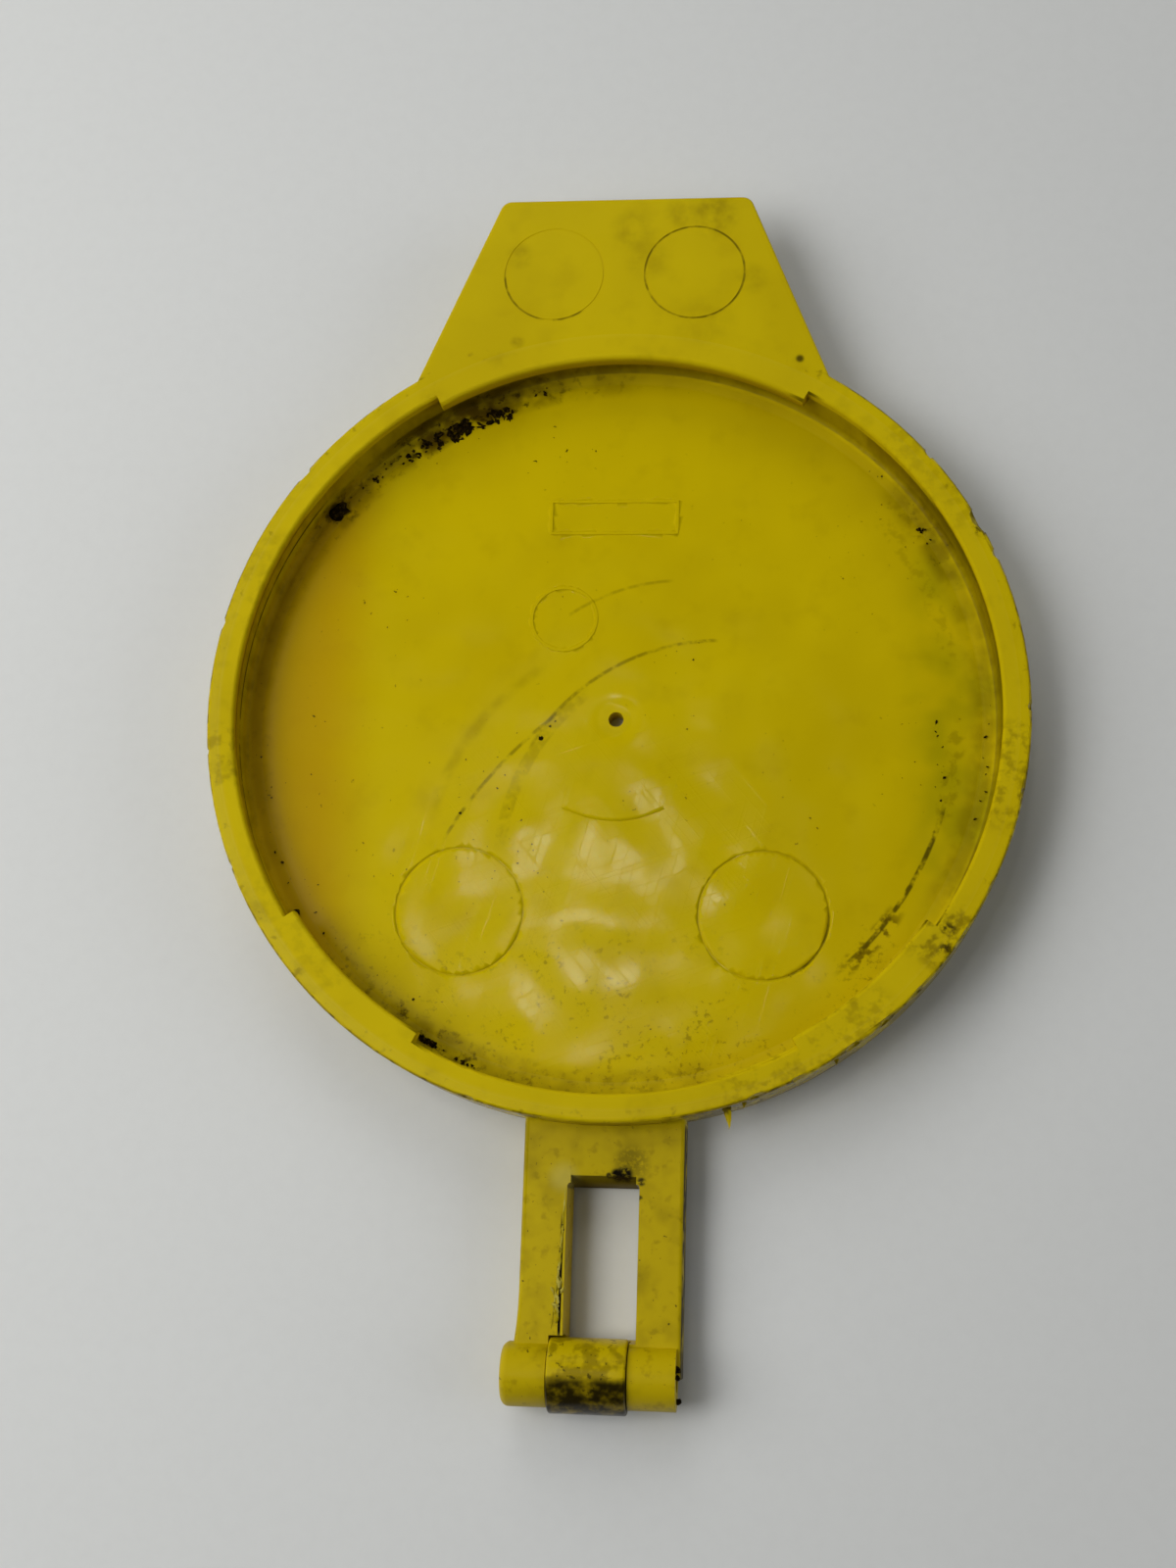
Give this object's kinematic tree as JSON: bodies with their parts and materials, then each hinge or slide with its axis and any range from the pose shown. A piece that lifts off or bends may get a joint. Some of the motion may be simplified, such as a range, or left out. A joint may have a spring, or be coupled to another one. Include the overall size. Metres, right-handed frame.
{
  "type": "hinged protective cap",
  "caption": "Round push-on protective cap with a thumb tab and a windowed hinge arm that swings about a sleeve on a pin.",
  "frame": {"origin": "centre of the disc's back face, the face that the open cap lies on", "axes": "+Z out of the open dish, +Y from the hinge towards the thumb tab, X along the hinge pin"},
  "size_m": [0.0636, 0.0955, 0.0062],
  "materials": {
    "yellow_polypropylene": "satin-gloss moulded polypropylene, scuffed and dirty from use",
    "sleeve_polypropylene": "worn moulded polypropylene with ground-in grime",
    "pin_steel": "dull drawn steel"
  },
  "bodies": {
    "hinge_mount": {"hinge_sleeve": "sleeve_polypropylene"},
    "cap": {"cap_shell": "yellow_polypropylene", "hinge_pin": "pin_steel"}
  },
  "joints": [
    {"name": "cap_swing", "type": "hinge", "parent": "hinge_mount", "child": "cap", "pos_m": [0, -0.04975, 0.0027], "axis": [1, 0, 0], "range_deg": [0, 180]}
  ]
}
